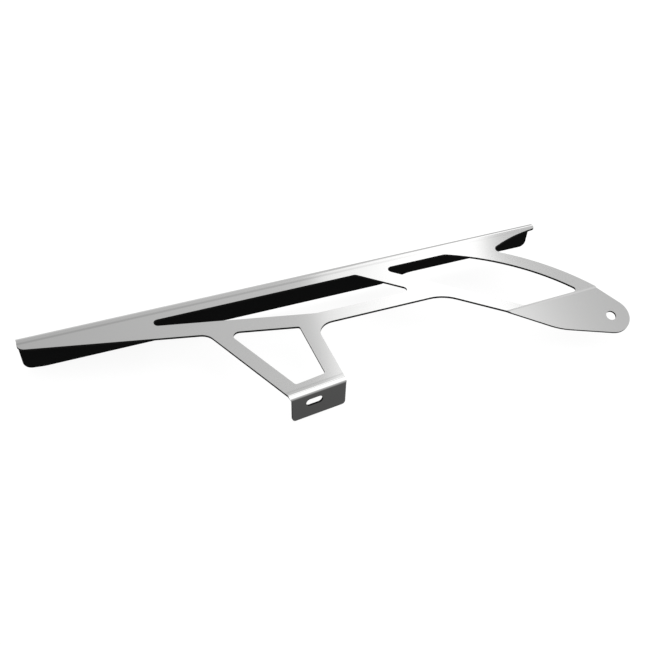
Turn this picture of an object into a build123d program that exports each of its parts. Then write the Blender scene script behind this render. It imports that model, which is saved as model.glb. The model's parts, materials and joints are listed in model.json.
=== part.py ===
from build123d import *
import os
from math import cos, radians, sin, sqrt, tan

# A chain guard cut from one aluminium sheet and folded three times: a long fold
# that turns the flange down behind the panel, a square fold at the foot of the
# bracket, and a slight fold that drops the rear ear. Millimetres and degrees.

# Sheet and folds
sheet = 1.5
fold_inner_radius = 4.5
tab_inner_radius = 1.5
ear_inner_radius = 3.0

# Front end, one slanted cut over the flange and the panel
front_lean = 4.8

# Flange, hanging from the long fold
fold_length = 380.8
flange_front_depth = 30.0
flange_middle_depth = 26.4
flange_rear_depth = 21.0
flange_front_rise = 1.6
flange_front_rise_run = 16.0
flange_front_step = 99.0
flange_front_step_run = 32.0
flange_rear_step_setback = 117.3
flange_rear_step_run = 18.0
flange_rear_lean = 7.0
flange_front_corner = 7.0
flange_rear_corner = 5.0
flange_step_radius = 30.0

# Panel, measured across from the flange's outer face
front_width = 14.8
front_angle = 13.0
front_corner = 6.0
top_rail = 15.8
lower_rail = 13.0
beam_width = 11.2
beam_edge = 57.7
beam_crest_radius = 25.0
window_corner = 3.5
window_floor_radius = 25.0

# Slanted brace and rear leg, on parallel lines
brace_angle = 43.0
brace_setback = 145.4
brace_width = 12.5
rear_leg_width = 10.2
front_window_start = 89.4

# Curved strut over the rear window, and the notch above it
arc_setback = 53.9
arc_radius = 165.5
arc_strut_width = 11.2
rear_window_corner = 8.0
notch_angle = 18.3
notch_radius = 102.0
notch_corner = 4.9
nose_width = 9.1
nose_lean = 14.0
nose_tip_radius = 2.2

# Bracket and its slotted tab
bracket_rear = 190.3
bracket_rear_leg = 10.5
bracket_front_leg = 10.4
bracket_leg_angle = 67.7
bracket_rail = 12.5
bracket_foot = 10.5
bracket_foot_angle = 10.0
bracket_front_corner = 10.0
bracket_rear_corner = 12.0
bracket_window_front_corner = 4.6
bracket_window_corner = 2.0
tab_angle = 7.3
tab_reach = 114.6
tab_width = 38.3
tab_depth = 20.9
tab_rear_lean = 2.2
tab_front_inset = 0.6
tab_corner = 2.5
slot_width = 5.5
slot_length = 12.0
slot_from_rear = 22.5
slot_drop = 9.4

# Rear ear with its bolt hole
ear_fold = 22.0
ear_fold_angle = 2.3
ear_fold_across = 86.8
ear_overhang = 6.3
ear_ledge = 0.2
ear_radius = 13.2
ear_hole_diameter = 7.0
ear_hole_overhang = 5.9
ear_hole_reach = 23.8
ear_heel = 39.5
ear_heel_reach = 23.0
ear_heel_radius = 50.0

# The sheet is drawn face down: +X runs rearward along the fold, +Y runs across
# the panel from the flange's outer face, and +Z runs from the face into the sheet.
fold_outer_radius = fold_inner_radius + sheet
tab_outer_radius = tab_inner_radius + sheet
ear_outer_radius = ear_inner_radius + sheet
ear_tangent = ear_outer_radius * tan(radians(ear_fold / 2))


def heading(angle):
    """Unit vector at an angle from +X towards +Y."""
    return Vector(cos(radians(angle)), sin(radians(angle)))


def beside(point, angle, offset):
    """A point moved sideways, to the +Y side of a line at an angle."""
    return point + heading(angle + 90) * offset


def meet(p, p_angle, q, q_angle):
    """Crossing of a line through p and a line through q, each at its own angle."""
    along = heading(p_angle)
    other = heading(q_angle)
    return p + along * ((q - p).cross(other).Z / along.cross(other).Z)


def bulge_centre(start, end, radius):
    """Centre of an arc from start to end, on the left of its chord."""
    half = (end - start) * 0.5
    rise = sqrt(radius**2 - half.dot(half))
    return start + half + Vector(-half.Y, half.X).normalized() * rise


def meet_arc(p, angle, radius):
    """Rearward crossing of a line through p with a circle about the arc's centre."""
    along = heading(angle)
    gap = p - arc_centre
    back = gap.dot(along)
    return p + along * (sqrt(back**2 - gap.dot(gap) + radius**2) - back)


def arc_about(centre, start, end):
    """The shorter arc from start to end about a centre."""
    middle = (start + end) * 0.5 - centre
    return ThreePointArc(start, centre + middle.normalized() * (start - centre).length, end)


def soften(face, corners):
    """Round chosen corners of a flat face, each with its own radius."""
    for point, radius in corners:
        face = fillet(face.vertices().sort_by_distance(point)[0], radius)
    return face


def folded_strip(length, leg, inner_radius):
    """A square fold along +X: outer face at y = 0, leg hanging along +Z."""
    outer_radius = inner_radius + sheet
    outer_corner = (0, 0)
    inner_corner = (-sheet, sheet)
    outline = Polyline(
        outer_corner,
        (0, leg),
        (-sheet, leg),
        inner_corner,
        (-outer_radius, sheet),
        (-outer_radius, 0),
        close=True,
    )
    section = soften(make_face(outline), [(outer_corner, outer_radius), (inner_corner, inner_radius)])
    return extrude(Plane.YZ * section, length)


def make_flange():
    """The long fold, trimmed to the flange's stepped lower edge and leaning ends."""
    front_depth = flange_front_depth - flange_front_rise
    front_setback = (front_depth - sheet) * tan(radians(front_lean))
    rear_setback = (flange_rear_depth - sheet) * tan(radians(flange_rear_lean))
    rear_step = fold_length - flange_rear_step_setback
    front_foot = (front_setback, front_depth)
    rear_foot = (fold_length - rear_setback, flange_rear_depth)
    steps = [
        (flange_front_rise_run, flange_front_depth),
        (flange_front_step, flange_front_depth),
        (flange_front_step + flange_front_step_run, flange_middle_depth),
        (rear_step, flange_middle_depth),
        (rear_step + flange_rear_step_run, flange_rear_depth),
    ]
    outline = Polyline(
        (0, 0),
        (0, sheet),
        front_foot,
        *steps,
        rear_foot,
        (fold_length, sheet),
        (fold_length, 0),
        close=True,
    )
    corners = [(point, flange_step_radius) for point in steps]
    corners += [(front_foot, flange_front_corner), (rear_foot, flange_rear_corner)]
    side = soften(make_face(outline), corners)
    strip = folded_strip(fold_length, flange_front_depth, fold_inner_radius)
    strip = Pos(fold_length, 0, 0) * Rot(0, 0, 180) * strip
    return strip & extrude(Plane.XZ * side, fold_outer_radius, both=True)


# Lines that the panel's edges and windows share
front_edge = Vector(0, front_width)
window_floor = beside(front_edge, front_angle, -lower_rail)
beam_top = Vector(0, beam_edge - beam_width)
beam_bottom = Vector(0, beam_edge)
brace_front = Vector(fold_length - brace_setback, top_rail)
brace_rear = beside(brace_front, brace_angle, -brace_width)
rear_leg_edge = beside(brace_rear, brace_angle, rear_leg_width)
tab_rear_corner = Vector(bracket_rear, tab_reach)
tab_front_corner = tab_rear_corner - heading(-tab_angle) * tab_width
tab_fold_start = beside(tab_rear_corner, -tab_angle, -tab_outer_radius)
leg_foot = tab_front_corner - heading(-tab_angle) * tab_front_inset
ear_line = Vector(fold_length, ear_fold_across)
ear_fold_start = beside(ear_line, -ear_fold_angle, -ear_tangent)
ear_low = meet(rear_leg_edge, brace_angle, ear_fold_start, -ear_fold_angle)
ear_high = ear_fold_start + heading(-ear_fold_angle) * ear_overhang
arc_start = Vector(fold_length - arc_setback, top_rail)
arc_centre = bulge_centre(arc_start, ear_high, arc_radius)


def panel_outline():
    """Edge of the flat panel, between the three folds."""
    nose_top = Vector(fold_length, fold_outer_radius)
    nose_end = meet(nose_top, 90 + nose_lean, Vector(0, nose_width), 0)
    notch_root = meet_arc(nose_end, -notch_angle, arc_radius)
    crest = meet(beam_bottom, 0, rear_leg_edge, brace_angle)
    bracket_inner = Vector(bracket_rear, beam_edge)
    bracket_outer = meet(front_edge, front_angle, leg_foot, bracket_leg_angle)
    front_top = Vector(0, fold_outer_radius)
    front_corner_point = meet(front_top, 90 + front_lean, front_edge, front_angle)
    straight = Polyline(
        ear_high,
        ear_low,
        crest,
        bracket_inner,
        meet(bracket_inner, 90, tab_fold_start, -tab_angle),
        meet(leg_foot, bracket_leg_angle, tab_fold_start, -tab_angle),
        bracket_outer,
        front_corner_point,
        front_top,
        nose_top,
        nose_end,
    )
    nose_edge = arc_about(bulge_centre(notch_root, nose_end, notch_radius), nose_end, notch_root)
    strut_edge = arc_about(arc_centre, notch_root, ear_high)
    face = make_face([*straight.edges(), nose_edge.edge(), strut_edge.edge()])
    return soften(
        face,
        [
            (front_corner_point, front_corner),
            (bracket_outer, bracket_front_corner),
            (bracket_inner, bracket_rear_corner),
            (crest, beam_crest_radius),
            (notch_root, notch_corner),
            (nose_end, nose_tip_radius),
        ],
    )


def front_window():
    """Long window between the top rail, the brace and the beam."""
    top_front = Vector(front_window_start, top_rail)
    low_front = meet(top_front, 90, window_floor, front_angle)
    floor_turn = meet(window_floor, front_angle, beam_top, 0)
    brace_foot = meet(brace_front, brace_angle, beam_top, 0)
    face = make_face(Polyline(top_front, brace_front, brace_foot, floor_turn, low_front, close=True))
    end_round = min(window_corner, (low_front - top_front).length / 2)
    return soften(
        face,
        [
            (top_front, end_round),
            (low_front, end_round),
            (brace_front, window_corner),
            (brace_foot, window_corner),
            (floor_turn, window_floor_radius),
        ],
    )


def rear_window():
    """Window under the curved strut, closed by the ear's fold."""
    inner_radius = arc_radius - arc_strut_width
    ledge = beside(ear_fold_start, -ear_fold_angle, -ear_ledge)
    top_front = meet(brace_rear, brace_angle, Vector(0, top_rail), 0)
    top_rear = meet_arc(top_front, 0, inner_radius)
    tip = meet_arc(ledge, -ear_fold_angle, inner_radius)
    low_front = meet(brace_rear, brace_angle, ledge, -ear_fold_angle)
    straight = Polyline(tip, low_front, top_front, top_rear)
    strut_edge = arc_about(arc_centre, top_rear, tip)
    face = make_face([*straight.edges(), strut_edge.edge()])
    corners = [(point, window_corner) for point in (top_front, tip, low_front)]
    return soften(face, corners + [(top_rear, rear_window_corner)])


def bracket_window():
    """Four-sided window that leaves the bracket's two legs and its foot."""
    top = beside(window_floor, front_angle, bracket_rail)
    foot = beside((tab_front_corner + tab_rear_corner) * 0.5, -tab_angle, -bracket_foot)
    front = beside(leg_foot, bracket_leg_angle, -bracket_front_leg)
    rear = Vector(bracket_rear - bracket_rear_leg, 0)
    top_front = meet(top, front_angle, front, bracket_leg_angle)
    others = [
        meet(top, front_angle, rear, 90),
        meet(foot, -bracket_foot_angle, rear, 90),
        meet(foot, -bracket_foot_angle, front, bracket_leg_angle),
    ]
    corners = [(point, bracket_window_corner) for point in others]
    return soften(
        make_face(Polyline(top_front, *others, close=True)),
        [(top_front, bracket_window_front_corner)] + corners,
    )


def make_tab():
    """Tab folded square under the bracket, with a slot for a bolt to slide in."""
    # The bracket's edges run on into the fold, wider than the tab below it
    front = -tab_front_inset - tab_outer_radius / tan(radians(tab_angle + bracket_leg_angle))
    rear = tab_width + tab_outer_radius * tan(radians(tab_angle))
    fold_end = tab_outer_radius + sheet
    rear_setback = (tab_depth - fold_end) * tan(radians(tab_rear_lean))
    foot = [(0, tab_depth), (tab_width - rear_setback, tab_depth)]
    outline = Polyline(
        (front, 0),
        (front, sheet),
        (0, fold_end),
        *foot,
        (tab_width, fold_end),
        (rear, sheet),
        (rear, 0),
        close=True,
    )
    side = soften(make_face(outline), [(point, tab_corner) for point in foot])
    strip = Pos(front, 0, 0) * folded_strip(rear - front, tab_depth, tab_inner_radius)
    strip &= extrude(Plane.XZ * side, tab_outer_radius, both=True)
    slot = SlotOverall(slot_length, slot_width)
    cutter = extrude(Plane.XZ * slot, 2 * sheet, both=True)
    strip -= Pos(tab_width - slot_from_rear, 0, slot_drop) * cutter
    return Pos(tab_front_corner) * Rot(0, 0, -tab_angle) * strip


def make_ear():
    """Rear ear: a slight fold, then a tapering plate with a round end and its hole."""
    place = Pos(ear_line) * Rot(0, 0, -ear_fold_angle)
    low = (ear_low - ear_line).dot(heading(-ear_fold_angle))
    high = (ear_high - ear_line).dot(heading(-ear_fold_angle))
    start = Plane.XZ * Pos(low, 0) * Rectangle(high - low, sheet, align=Align.MIN)
    fold_axis = Axis((0, -ear_tangent, ear_outer_radius), (1, 0, 0))
    fold = revolve(Pos(0, -ear_tangent, 0) * start, fold_axis, ear_fold)
    strut_angle = brace_angle + ear_fold_angle
    low_root = (low + ear_inner_radius * sin(radians(ear_fold)) / tan(radians(strut_angle)), ear_tangent)
    hole = Vector(ear_hole_overhang, ear_hole_reach)
    heel = Vector(ear_hole_overhang - ear_heel, ear_heel_reach)
    root = Line(low_root, (high, ear_tangent))
    side = Line(low_root, heel)
    tip = Pos(hole) * Rot(0, 0, 180) * Circle(ear_radius)
    face = soften(make_hull([root.edge(), side.edge(), *tip.edges()]), [(heel, ear_heel_radius)])
    face -= Pos(hole) * Circle(ear_hole_diameter / 2)
    # The strut's lower edge runs on over the fold
    beyond = Box(ear_heel, ear_heel, ear_heel, align=(Align.CENTER, Align.MIN, Align.CENTER))
    trim = Pos(low, -ear_tangent) * Rot(0, 0, strut_angle) * beyond
    return place * (fold + Rot(ear_fold, 0, 0) * extrude(face, sheet) - trim)


def make_guard():
    """All the flats and folds as one sheet, turned face up on its lowest edge."""
    flat = panel_outline() - front_window() - rear_window() - bracket_window()
    guard = extrude(flat, sheet) + make_flange() + make_tab() + make_ear()
    guard = Rot(180, 0, 0) * guard
    box = guard.bounding_box()
    return Pos(-box.center().X, -box.center().Y, -box.min.Z) * guard


os.makedirs("parts", exist_ok=True)
export_step(make_guard(), "parts/chain_guard.step")
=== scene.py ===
import json
from collections import namedtuple
from math import cos, radians, sin

import bpy
from mathutils import Matrix, Vector


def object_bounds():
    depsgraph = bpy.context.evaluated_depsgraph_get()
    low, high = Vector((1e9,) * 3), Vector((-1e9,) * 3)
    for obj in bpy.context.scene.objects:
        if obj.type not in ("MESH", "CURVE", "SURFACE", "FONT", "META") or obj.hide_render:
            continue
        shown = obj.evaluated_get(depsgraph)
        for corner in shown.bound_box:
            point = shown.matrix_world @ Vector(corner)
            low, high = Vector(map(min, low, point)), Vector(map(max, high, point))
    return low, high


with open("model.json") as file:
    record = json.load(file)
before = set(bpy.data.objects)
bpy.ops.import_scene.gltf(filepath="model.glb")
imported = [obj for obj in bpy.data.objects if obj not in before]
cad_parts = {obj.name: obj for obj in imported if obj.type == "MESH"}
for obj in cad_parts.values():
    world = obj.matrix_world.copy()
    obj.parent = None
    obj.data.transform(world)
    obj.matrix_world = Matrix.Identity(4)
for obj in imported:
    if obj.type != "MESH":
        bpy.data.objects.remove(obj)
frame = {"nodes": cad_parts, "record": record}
cad_low, cad_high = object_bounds()
scene = bpy.context.scene
guard = frame["nodes"]["chain_guard"]
mounts = {mount["name"]: mount for mount in frame["record"]["mounts"]}

# Directions in the guard's frame
UP = Vector((0, 0, 1))
BACK = Vector((0, 1, 0))

# The sheet, in metres: its thickness and the outer radii of two folds
SHEET = 0.0015
FOLD_RADIUS = 0.006
TAB_FOLD_RADIUS = 0.003
# A face that looks less than this along the sheet's own direction is a cut edge
BROAD_SIDE = 0.6
# Material slots: the sheet's face, its inner side and its cut edges
FACE, INSIDE, EDGE = 0, 1, 2

# Spans from nothing to full, and from full to nothing
RISE = (0.0, 1.0)
FALL = (1.0, 0.0)

# Painted shade along shallow creases beside the folds: places and widths in metres, then depth along
# the guard's length
CREASE_SHADE_FROM_FLANGE = 0.0090
CREASE_SHADE_WIDTH = 0.0019
CREASE_SHADE_ALONG = (0.0, 0.11)
CREASE_SHADE_DEPTHS = (1.0, 0.2)
CREASE_SHADE_FROM_TAB = 0.0054
TAB_CREASE_SHADE_WIDTH = 0.0014
TAB_CREASE_SHADE_ALONG = (0.0, 0.01)
TAB_CREASE_SHADE_DEPTHS = (0.5, 0.0)

# Most of the noise lies in this span
NOISE_SPAN = (0.3, 0.7)

# Finishes: noise in waves per metre, tones, roughness, and bumps as a strength and a depth in metres
BRUSH_GRAIN = (25, 3500, 3500)
BRUSH_PATCHES = (6, 60, 60)
GRAIN_SHARE = 0.6
PATCH_SHARE = 0.4
BRUSH_TONES = (0.80, 0.88)
BRUSH_BLUE = 0.995
BRUSH_ROUGHNESS = (0.105, 0.08)
BRUSH_BUMP = (0.06, 0.00002)
# Painted shade of the creases: the darker tone and how strongly it covers the brushed tones
CREASE_SHADE_TONE = 0.60
CREASE_SHADE_STRENGTH = 0.75

# Inner side: near-black satin, painted shade for the dark inside of the flange
INNER_SKIN = (900, 900, 900)
INNER_SHADE_PATCHES = (30, 90, 90)
INNER_SHADE_TONES = (0.0015, 0.004)
INNER_ROUGHNESS = (0.42, 0.55)
INNER_BUMP = (0.15, 0.00005)
INNER_SPECULAR = 0.15

# Cut edges: near-black, painted shade, with fine marks across the sheet
EDGE_MARKS = (2200, 2200, 150)
EDGE_SHADE_TONES = (0.004, 0.012)
EDGE_ROUGHNESS = (0.26, 0.38)
EDGE_BUMP = (0.2, 0.00004)
EDGE_SPECULAR = 0.2

# The floor, in metres, with its own tone and glow
FLOOR_HALF = 4.0
FLOOR_GAP = 0.0002
FLOOR_TONE = 0.24
FLOOR_GLOW = 0.91
FLOOR_ROUGHNESS = 0.9

# The camera, measured from the panel's far front corner
IMAGE_PIXELS = 645
SENSOR_MM = 36.0
FOCAL_PIXELS = 1200
NEAREST_SEEN = 0.01
CAMERA_OFFSET = Vector((-0.0197, -0.6349, 0.5135))
CAMERA_AZIMUTH = radians(-20.46)
CAMERA_ELEVATION = radians(39.79)
CAMERA_ROLL = radians(0.12)

# The studio, by the way that a ray takes into it. A turn is a span of bearings, from straight
# back towards the right, and a height goes from 0 at the horizon to 1 overhead.
LIGHT_LEVEL = 0.8
SEEN_LEVEL = 1.0

# Walls and window alike are a little brighter lower down
GAIN_HEIGHT = (0.72, 0.84)
GAINS = (1.22, 1.12)

WALL_TURN = (radians(0), radians(20))
WALL_TONES = (0.48, 0.62)
HORIZON_TURN = (radians(10), radians(22))
HORIZON_TONES = (0.25, -0.15)
HORIZON_HEIGHT = (0.0, 0.45)

GROUND_TURN = (radians(-35), radians(0))
GROUND_TONES = (0.4, 0.7)
GROUND_FRONT_TONE = 0.07
GROUND_BACK = (-0.5, 0.0)
GROUND_HEIGHT = (-0.85, 0.1)

SHADE_NEAR = (radians(36), radians(58))
SHADE_FAR = (radians(95), radians(140))
SHADE_HEIGHT = (0.2, 0.5)
SHADE_DEPTHS = (0.42, 0.0)

WINDOW_LEFT = (radians(19.6), radians(20.3))
WINDOW_LEFT_HEIGHT = (0.63, 0.675)
WINDOW_LEFT_LEAN = (radians(0), radians(1.3))
WINDOW_RIGHT = (radians(29.5), radians(30.35))
WINDOW_RIGHT_HEIGHT = (0.5906, 0.6198)
WINDOW_RIGHT_LEAN = (radians(0), radians(3.4))
WINDOW_FOOT = (0.25, 0.4)
WINDOW_HEAD = (0.82, 0.92)
WINDOW_TURN = (radians(20), radians(26))
WINDOW_TONES = (0.34, 0.7)

# Its left and right borders go by how far the ray looks to the right
DIFFUSER_ELEVATION = radians(52)
DIFFUSER_RIM = (cos(radians(47)), cos(radians(41)))
DIFFUSER_TONES = (0.0, 0.85)
DIFFUSER_HEIGHT = (-0.1, 0.55)
DIFFUSER_LEFT = (0.02, 0.2)
DIFFUSER_RIGHT = (0.48, 0.66)

CEILING_HEIGHT = (0.858, 0.897)
CEILING_TOP = (0.91, 0.985)
CEILING_TONES = (0.42, 0.0)

PATCH_LEFT = (radians(31), radians(36))
PATCH_RIGHT = (radians(62), radians(80))
PATCH_HEIGHT = (0.66, 0.71)
PATCH_TONES = (0.0, 0.13)
PATCH_TOP = (0.79, 0.87)
PATCH_TOP_TONES = (0.0, 0.17)


# Node helpers

# A Mix node's two inputs and its result, for each kind of data
MIX_SOCKETS = {"FLOAT": (2, 3, 0), "RGBA": (6, 7, 2)}


def add(tree, kind, *values, **settings):
    """A new shader node: settings by name, then its inputs in order, linked or set."""
    node = tree.nodes.new("ShaderNode" + kind)
    for name, value in settings.items():
        setattr(node, name, value)
    for socket, value in zip(node.inputs, values):
        fill(tree, socket, value)
    return node


def fill(tree, socket, value):
    """Link a socket to another node's output, or set it to a plain value."""
    if isinstance(value, bpy.types.NodeSocket):
        tree.links.new(value, socket)
    else:
        socket.default_value = value


def calc(tree, operation, *values):
    return add(tree, "Math", *values, operation=operation).outputs[0]


def times(tree, first, *others):
    """Product of two or more values."""
    for other in others:
        first = calc(tree, "MULTIPLY", first, other)
    return first


def plus(tree, first, *others):
    """Sum of two or more values."""
    for other in others:
        first = calc(tree, "ADD", first, other)
    return first


def ramp(tree, value, span, result, smooth=False):
    """Map a value from one span to another, clamped at both ends."""
    shape = "SMOOTHSTEP" if smooth else "LINEAR"
    return add(tree, "MapRange", value, *span, *result, interpolation_type=shape).outputs[0]


def band(tree, value, rise, fall):
    """Full between two soft borders, nothing outside them."""
    inside_first = ramp(tree, value, rise, RISE, smooth=True)
    inside_second = ramp(tree, value, fall, FALL, smooth=True)
    return times(tree, inside_first, inside_second)


def mixed(tree, kind, amount, first, second):
    """A value or a colour between two others, each linked or plain."""
    mix = add(tree, "Mix", amount, data_type=kind)
    first_socket, second_socket, result = MIX_SOCKETS[kind]
    fill(tree, mix.inputs[first_socket], first)
    fill(tree, mix.inputs[second_socket], second)
    return mix.outputs[result]


def between(tree, amount, low, high):
    return mixed(tree, "FLOAT", amount, low, high)


def tint(tree, amount, dark, pale):
    return mixed(tree, "RGBA", amount, dark, pale)


def grey(level, blue=1.0):
    """A grey as a colour, with its own share of blue."""
    return (level, level, level * blue, 1)


def noise(tree, waves, detail=2.0):
    """Noise over the object's own coordinates, with waves per metre along X, Y and Z."""
    place = add(tree, "TexCoord").outputs["Object"]
    spread = add(tree, "Mapping", place)
    spread.inputs["Scale"].default_value = waves
    cloud = add(tree, "TexNoise", spread.outputs[0])
    cloud.inputs["Scale"].default_value = 1.0
    cloud.inputs["Detail"].default_value = detail
    return cloud.outputs[0]


def relief(tree, height, strength, depth):
    """A bump from a height between 0 and 1."""
    bump = add(tree, "Bump")
    bump.inputs["Strength"].default_value = strength
    bump.inputs["Distance"].default_value = depth
    fill(tree, bump.inputs["Height"], height)
    return bump.outputs[0]


def new_material(name):
    """A principled material, its tree and its shader."""
    material = bpy.data.materials.new(name)
    material.use_nodes = True
    return material, material.node_tree, material.node_tree.nodes["Principled BSDF"]


# Materials

def shade_line(tree, beside, width, share):
    """Strength of a painted shade line where a point lies beside it, times its share of the full
    strength there.
    """
    depth = ramp(tree, calc(tree, "ABSOLUTE", beside), (0.0, width), FALL, smooth=True)
    return times(tree, depth, share)


def crease_shade_lines(tree):
    """Painted shade along the shallow creases that the bending tool left beside the long fold and the
    tab's fold.
    """
    point = add(tree, "TexCoord").outputs["Object"]
    place = add(tree, "SeparateXYZ", point)
    along = place.outputs["X"]
    from_long = calc(tree, "SUBTRACT", place.outputs["Y"], cad_high.y - CREASE_SHADE_FROM_FLANGE)
    long_share = ramp(tree, along, CREASE_SHADE_ALONG, CREASE_SHADE_DEPTHS)
    long_line = shade_line(tree, from_long, CREASE_SHADE_WIDTH, long_share)
    tab_normal = Vector(mounts["tab_seat"]["axis"])
    tab_line_at = Vector(mounts["tab_seat"]["pos_m"]).dot(tab_normal) - CREASE_SHADE_FROM_TAB
    out = add(tree, "VectorMath", point, tab_normal, operation="DOT_PRODUCT").outputs["Value"]
    from_tab = calc(tree, "SUBTRACT", out, tab_line_at)
    tab_share = ramp(tree, along, TAB_CREASE_SHADE_ALONG, TAB_CREASE_SHADE_DEPTHS)
    tab_line = shade_line(tree, from_tab, TAB_CREASE_SHADE_WIDTH, tab_share)
    return calc(tree, "MAXIMUM", long_line, tab_line)


def brushed_face():
    """Satin aluminium, brushed along the guard, darkened by painted shade along the creases beside the
    folds.
    """
    material, tree, shader = new_material("brushed_aluminium")
    grain = noise(tree, BRUSH_GRAIN, detail=4)
    patches = noise(tree, BRUSH_PATCHES)
    shade = plus(tree, times(tree, grain, GRAIN_SHARE), times(tree, patches, PATCH_SHARE))
    dark, pale, crease_shaded = (grey(tone, BRUSH_BLUE) for tone in (*BRUSH_TONES, CREASE_SHADE_TONE))
    # Painted shade along the creases darkens the brushed tones
    crease_shade = times(tree, crease_shade_lines(tree), CREASE_SHADE_STRENGTH)
    fill(tree, shader.inputs["Base Color"], tint(tree, crease_shade, tint(tree, shade, dark, pale), crease_shaded))
    fill(tree, shader.inputs["Roughness"], ramp(tree, shade, NOISE_SPAN, BRUSH_ROUGHNESS))
    fill(tree, shader.inputs["Normal"], relief(tree, grain, *BRUSH_BUMP))
    shader.inputs["Metallic"].default_value = 1.0
    return material


def painted_shade_inside():
    """Near-black satin on the sheet's inner side, painted shade for the dark inside of the flange, with
    a fine orange-peel skin.
    """
    material, tree, shader = new_material("inner_side_painted_shade")
    skin = noise(tree, INNER_SKIN)
    dark, pale = map(grey, INNER_SHADE_TONES)
    # Painted shade: near-black tones all over the inner side
    fill(tree, shader.inputs["Base Color"], tint(tree, noise(tree, INNER_SHADE_PATCHES), dark, pale))
    fill(tree, shader.inputs["Roughness"], ramp(tree, skin, NOISE_SPAN, INNER_ROUGHNESS))
    fill(tree, shader.inputs["Normal"], relief(tree, skin, *INNER_BUMP))
    shader.inputs["Specular IOR Level"].default_value = INNER_SPECULAR
    return material


def cut_edge():
    """Dull edge left by the cutter, near-black as painted shade, with fine marks across the sheet."""
    material, tree, shader = new_material("cut_edge")
    marks = noise(tree, EDGE_MARKS, detail=3)
    # Painted shade: near-black tones on every cut edge
    dark, pale = map(grey, EDGE_SHADE_TONES)
    fill(tree, shader.inputs["Base Color"], tint(tree, marks, dark, pale))
    fill(tree, shader.inputs["Roughness"], ramp(tree, marks, NOISE_SPAN, EDGE_ROUGHNESS))
    fill(tree, shader.inputs["Normal"], relief(tree, marks, *EDGE_BUMP))
    shader.inputs["Specular IOR Level"].default_value = EDGE_SPECULAR
    return material


# The sheet

def sheet_direction(point):
    """Way that the sheet's face looks at a point: up on the panel, turning with each fold."""
    back = point.y - (cad_high.y - FOLD_RADIUS)
    if back > 0:
        return BACK * back + UP * max(point.z - (cad_high.z - FOLD_RADIUS), 0)
    tab = mounts["tab_seat"]
    tab_normal = Vector(tab["axis"])
    out = (point - Vector(tab["pos_m"])).dot(tab_normal) + TAB_FOLD_RADIUS
    if out > 0 and point.x < 0:
        return tab_normal * out + UP * max(point.z - (cad_high.z - TAB_FOLD_RADIUS), 0)
    ear = mounts["ear_bolt"]
    ear_normal = Vector(ear["axis"])
    if point.x > 0 and abs((point - Vector(ear["pos_m"])).dot(ear_normal)) < SHEET:
        return ear_normal
    return UP


def side_of(face):
    """Material slot of a mesh face, by the way it looks."""
    facing = face.normal.dot(sheet_direction(face.center).normalized())
    if abs(facing) < BROAD_SIDE:
        return EDGE
    return FACE if facing > 0 else INSIDE


def dress_guard():
    """Give each side of the sheet its finish."""
    guard.data.materials.clear()
    for material in (brushed_face(), painted_shade_inside(), cut_edge()):
        guard.data.materials.append(material)
    for face in guard.data.polygons:
        face.material_index = side_of(face)


# Studio

# A ray's way into the studio: the node tree, the way itself, its parts and its bearing
Sky = namedtuple("Sky", "tree way x y z bearing")


def make_floor():
    """Large pale floor with a glow of its own. The guard neither mirrors it nor takes light from it."""
    half = FLOOR_HALF
    mesh = bpy.data.meshes.new("floor")
    corners = [(-half, -half, 0), (half, -half, 0), (half, half, 0), (-half, half, 0)]
    mesh.from_pydata(corners, [], [(0, 1, 2, 3)])
    floor = bpy.data.objects.new("floor", mesh)
    scene.collection.objects.link(floor)
    floor.location.z = cad_low.z - FLOOR_GAP
    floor.visible_glossy = False
    floor.visible_diffuse = False
    material, _, shader = new_material("pale_floor")
    shader.inputs["Base Color"].default_value = grey(FLOOR_TONE)
    shader.inputs["Roughness"].default_value = FLOOR_ROUGHNESS
    shader.inputs["Specular IOR Level"].default_value = 0.0
    shader.inputs["Emission Color"].default_value = grey(1.0)
    shader.inputs["Emission Strength"].default_value = FLOOR_GLOW
    mesh.materials.append(material)


def walls(sky, gain):
    """Grey walls, paler on the right, but near the horizon paler on the left."""
    tree = sky.tree
    horizon = ramp(tree, sky.bearing, HORIZON_TURN, HORIZON_TONES)
    low_down = ramp(tree, sky.z, HORIZON_HEIGHT, FALL)
    across = ramp(tree, sky.bearing, WALL_TURN, WALL_TONES)
    return plus(tree, times(tree, horizon, low_down), times(tree, gain, across))


def ground(sky):
    """Below the horizon: dark in front, paler behind, most of all on the right."""
    tree = sky.tree
    behind = ramp(tree, sky.bearing, GROUND_TURN, GROUND_TONES, smooth=True)
    return between(tree, ramp(tree, sky.y, GROUND_BACK, RISE), GROUND_FRONT_TONE, behind)


def side_shade(sky):
    """Shade low down at both sides, away from what the camera's own view reflects."""
    tree = sky.tree
    aside = calc(tree, "ABSOLUTE", sky.bearing)
    low_down = ramp(tree, sky.z, SHADE_HEIGHT, SHADE_DEPTHS, smooth=True)
    return times(tree, band(tree, aside, SHADE_NEAR, SHADE_FAR), low_down)


def window(sky, gain):
    """Tall window behind, reflected along the middle of the panel. Its sides lean with height."""
    tree = sky.tree
    left_lean = ramp(tree, sky.z, WINDOW_LEFT_HEIGHT, WINDOW_LEFT_LEAN)
    right_lean = ramp(tree, sky.z, WINDOW_RIGHT_HEIGHT, WINDOW_RIGHT_LEAN)
    past_left = calc(tree, "SUBTRACT", sky.bearing, left_lean)
    past_right = calc(tree, "SUBTRACT", sky.bearing, right_lean)
    left = ramp(tree, past_left, WINDOW_LEFT, RISE, smooth=True)
    right = ramp(tree, past_right, WINDOW_RIGHT, FALL, smooth=True)
    upright = band(tree, sky.z, WINDOW_FOOT, WINDOW_HEAD)
    glow = ramp(tree, sky.bearing, WINDOW_TURN, WINDOW_TONES)
    return times(tree, left, right, upright, glow, gain)


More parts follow.
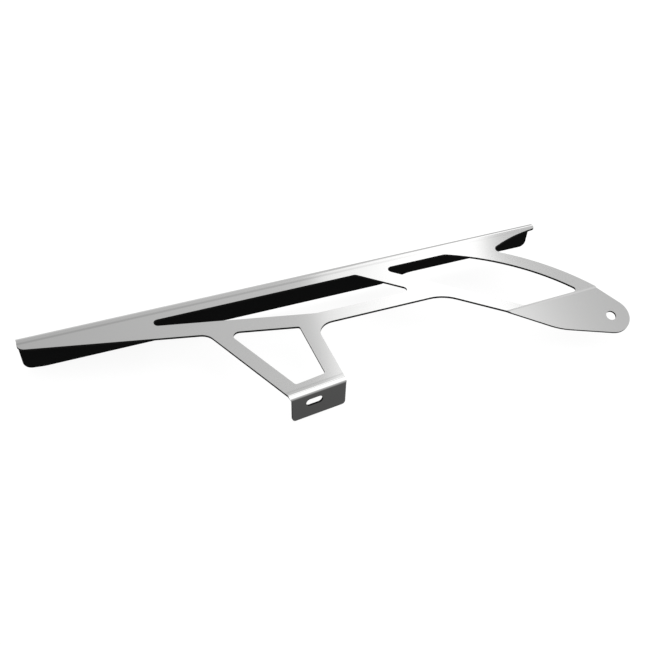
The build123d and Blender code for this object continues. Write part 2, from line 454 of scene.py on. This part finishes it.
def diffuser(sky):
    """Wide diffuser above and in front, a little to the right."""
    tree = sky.tree
    centre = (0, -cos(DIFFUSER_ELEVATION), sin(DIFFUSER_ELEVATION))
    aim = add(tree, "VectorMath", sky.way, centre, operation="DOT_PRODUCT").outputs["Value"]
    wide = ramp(tree, aim, DIFFUSER_RIM, DIFFUSER_TONES, smooth=True)
    height = ramp(tree, sky.z, DIFFUSER_HEIGHT, RISE, smooth=True)
    return times(tree, wide, height, band(tree, sky.x, DIFFUSER_LEFT, DIFFUSER_RIGHT))


def ceiling(sky):
    """Pale ceiling, reflected along the ear, and darker straight overhead."""
    tree = sky.tree
    rise = ramp(tree, sky.z, CEILING_HEIGHT, RISE)
    overhead = ramp(tree, sky.z, CEILING_TOP, CEILING_TONES, smooth=True)
    return times(tree, rise, rise, overhead)


def patch(sky):
    """Pale patch beside the window, reflected along the ear's fold."""
    tree = sky.tree
    lower = ramp(tree, sky.z, PATCH_HEIGHT, PATCH_TONES)
    upper = ramp(tree, sky.z, PATCH_TOP, PATCH_TOP_TONES)
    return times(tree, band(tree, sky.bearing, PATCH_LEFT, PATCH_RIGHT), plus(tree, lower, upper))


def make_surround():
    """Soft studio light all round, which the sheet mirrors. To the camera itself it is white."""
    world = bpy.data.worlds.new("studio")
    scene.world = world
    world.use_nodes = True
    tree = world.node_tree
    tree.nodes.clear()
    way = add(tree, "TexCoord").outputs["Generated"]
    x, y, z = add(tree, "SeparateXYZ", way).outputs
    sky = Sky(tree, way, x, y, z, calc(tree, "ARCTAN2", x, y))

    gain = ramp(tree, z, GAIN_HEIGHT, GAINS)
    above = ramp(tree, z, GROUND_HEIGHT, RISE, smooth=True)
    unshaded = between(tree, above, ground(sky), walls(sky, gain))
    room = times(tree, unshaded, calc(tree, "SUBTRACT", 1.0, side_shade(sky)))
    light = plus(tree, room, window(sky, gain), diffuser(sky), ceiling(sky), patch(sky))

    to_camera = add(tree, "LightPath").outputs["Is Camera Ray"]
    strength = between(tree, to_camera, times(tree, light, LIGHT_LEVEL), SEEN_LEVEL)
    background = add(tree, "Background", grey(1.0))
    fill(tree, background.inputs["Strength"], strength)
    tree.links.new(background.outputs[0], add(tree, "OutputWorld").inputs["Surface"])


def make_camera():
    """Camera at the photograph's place and angle."""
    camera = bpy.data.cameras.new("camera")
    camera.sensor_width = SENSOR_MM
    camera.lens = SENSOR_MM * FOCAL_PIXELS / IMAGE_PIXELS
    camera.clip_start = NEAREST_SEEN
    eye = bpy.data.objects.new("camera", camera)
    scene.collection.objects.link(eye)
    backward = Vector(
        (
            sin(CAMERA_AZIMUTH) * cos(CAMERA_ELEVATION),
            -cos(CAMERA_AZIMUTH) * cos(CAMERA_ELEVATION),
            sin(CAMERA_ELEVATION),
        )
    )
    corner = Vector((cad_low.x, cad_high.y, cad_high.z))
    place = Matrix.Translation(corner + CAMERA_OFFSET)
    turn = (-backward).to_track_quat("-Z", "Y").to_matrix().to_4x4()
    eye.matrix_world = place @ turn @ Matrix.Rotation(CAMERA_ROLL, 4, "Z")
    scene.camera = eye


dress_guard()
make_floor()
make_surround()
make_camera()
scene.view_settings.view_transform = "Standard"
